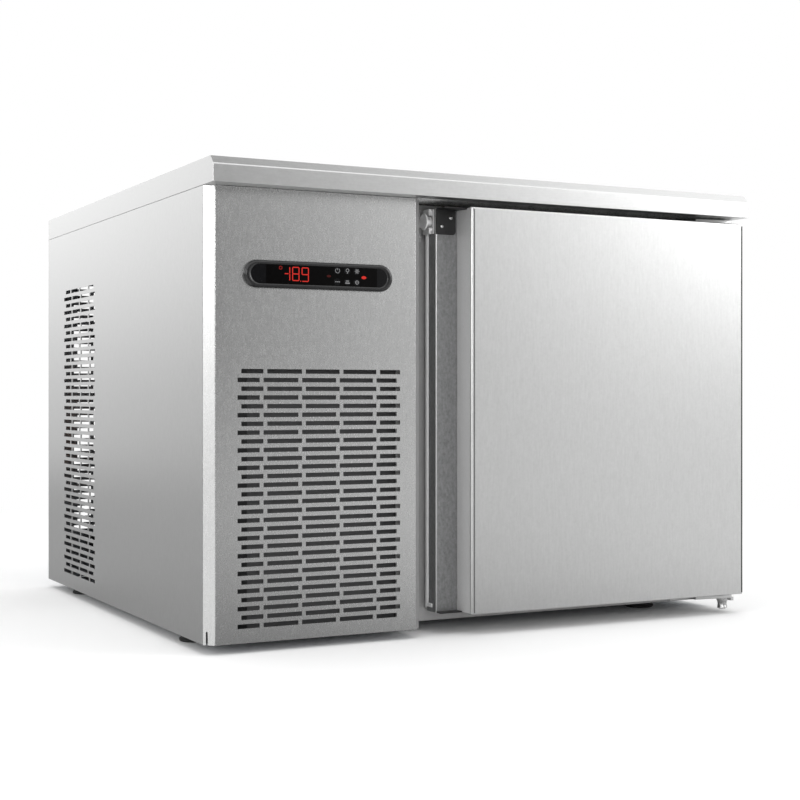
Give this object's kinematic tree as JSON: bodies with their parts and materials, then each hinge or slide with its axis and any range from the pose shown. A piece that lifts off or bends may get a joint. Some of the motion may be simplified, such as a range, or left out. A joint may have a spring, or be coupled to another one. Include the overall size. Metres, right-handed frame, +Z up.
{
  "type": "blast chiller",
  "caption": "Countertop blast chiller: slotted service panel with a digital control on the left, insulated cabinet with a right-hinged recessed-grip door, flat steel worktop.",
  "frame": {"origin": "on the floor under the middle of the footprint", "axes": "+X to the right of someone facing the door, -Y out of the front, +Z up"},
  "size_m": [0.79, 0.79, 0.59],
  "materials": {
    "stainless_casing": "satin",
    "stainless_door": "satin",
    "stainless_cabinet": "satin",
    "stainless_hardware": "satin",
    "bright_hardware": "polished",
    "galvanised_steel": "matte",
    "aluminium_fins": "satin",
    "aluminium_blades": "satin",
    "copper_pipe": "satin",
    "black_enamel": "satin",
    "black_plastic": "satin",
    "grey_plastic": "matte",
    "display_window": "gloss",
    "key_cap": "gloss",
    "black_rubber": "matte",
    "door_seal": "matte",
    "insulation_foam": "matte",
    "worktop_board": "matte"
  },
  "bodies": {
    "chiller_body": {"base_pan": "galvanised_steel", "cabinet_foam": "insulation_foam", "cable_gland": "black_plastic", "compressor": "black_enamel", "compressor_base": "black_enamel", "compressor_terminal_cover": "black_plastic", "condenser_coil": "aluminium_fins", "condenser_fan_motor": "black_enamel", "condenser_shroud": "galvanised_steel", "controller_bezel": "black_plastic", "controller_housing": "black_plastic", "controller_window": "display_window", "discharge_line": "copper_pipe", "divider_panel": "galvanised_steel", "door_frame": "stainless_cabinet", "drip_tray": "stainless_cabinet", "electrical_box": "grey_plastic", "evaporator_coil": "aluminium_fins", "evaporator_fan_guard": "stainless_cabinet", "evaporator_fan_motor": "black_enamel", "evaporator_fan_panel": "stainless_cabinet", "filter_drier": "copper_pipe", "foot_front_left": "black_rubber", "foot_front_right": "black_rubber", "foot_rear_left": "black_rubber", "foot_rear_right": "black_rubber", "front_service_panel": "stainless_casing", "hinge_bottom_bracket": "stainless_hardware", "hinge_bottom_pin": "bright_hardware", "hinge_top_bracket": "stainless_hardware", "hinge_top_pin": "bright_hardware", "inner_liner": "stainless_cabinet", "left_side_panel": "stainless_casing", "liquid_line": "copper_pipe", "liquid_receiver": "black_enamel", "rear_panel": "galvanised_steel", "right_side_panel": "stainless_casing", "strike_plate": "stainless_hardware", "suction_line": "copper_pipe", "tray_rack_left": "stainless_cabinet", "tray_rack_right": "stainless_cabinet", "worktop": "stainless_casing", "worktop_core": "worktop_board"},
    "door": {"door_skin": "stainless_door", "door_grip_strip": "stainless_door", "door_foam": "insulation_foam", "door_inner_panel": "stainless_door", "door_gasket": "door_seal", "latch_plate": "black_plastic", "latch_bracket": "stainless_hardware"},
    "latch_roller": {"latch_roller": "bright_hardware"},
    "evaporator_fan": {"evaporator_fan_blades": "black_plastic"},
    "condenser_fan": {"condenser_fan_blades": "aluminium_blades"},
    "key_power": {"key_power": "key_cap"},
    "key_lamp": {"key_lamp": "key_cap"},
    "key_chill": {"key_chill": "key_cap"},
    "key_aux": {"key_aux": "key_cap"},
    "key_defrost": {"key_defrost": "key_cap"},
    "key_set": {"key_set": "key_cap"}
  },
  "joints": [
    {"name": "door_hinge", "type": "hinge", "parent": "chiller_body", "child": "door", "pos_m": [0.376, -0.36, 0.2885], "axis": [0, 0, 1], "range_deg": [0, 110], "stiffness_Nm_per_rad": 1, "springref_deg": -9.74},
    {"name": "latch_roller_spin", "type": "hinge", "parent": "door", "child": "latch_roller", "pos_m": [-0.0773, -0.333, 0.533], "axis": [1, 0, 0], "continuous": true},
    {"name": "evaporator_fan_spin", "type": "hinge", "parent": "chiller_body", "child": "evaporator_fan", "pos_m": [0.1425, 0.219, 0.29], "axis": [0, 1, 0], "continuous": true},
    {"name": "condenser_fan_spin", "type": "hinge", "parent": "chiller_body", "child": "condenser_fan", "pos_m": [-0.25, -0.284, 0.184], "axis": [0, 1, 0], "continuous": true},
    {"name": "key_power_press", "type": "slide", "parent": "chiller_body", "child": "key_power", "axis": [0, 1, 0], "range_m": [0, 0.0006], "stiffness_N_per_m": 1500},
    {"name": "key_lamp_press", "type": "slide", "parent": "chiller_body", "child": "key_lamp", "axis": [0, 1, 0], "range_m": [0, 0.0006], "stiffness_N_per_m": 1500},
    {"name": "key_chill_press", "type": "slide", "parent": "chiller_body", "child": "key_chill", "axis": [0, 1, 0], "range_m": [0, 0.0006], "stiffness_N_per_m": 1500},
    {"name": "key_aux_press", "type": "slide", "parent": "chiller_body", "child": "key_aux", "axis": [0, 1, 0], "range_m": [0, 0.0006], "stiffness_N_per_m": 1500},
    {"name": "key_defrost_press", "type": "slide", "parent": "chiller_body", "child": "key_defrost", "axis": [0, 1, 0], "range_m": [0, 0.0006], "stiffness_N_per_m": 1500},
    {"name": "key_set_press", "type": "slide", "parent": "chiller_body", "child": "key_set", "axis": [0, 1, 0], "range_m": [0, 0.0006], "stiffness_N_per_m": 1500}
  ]
}
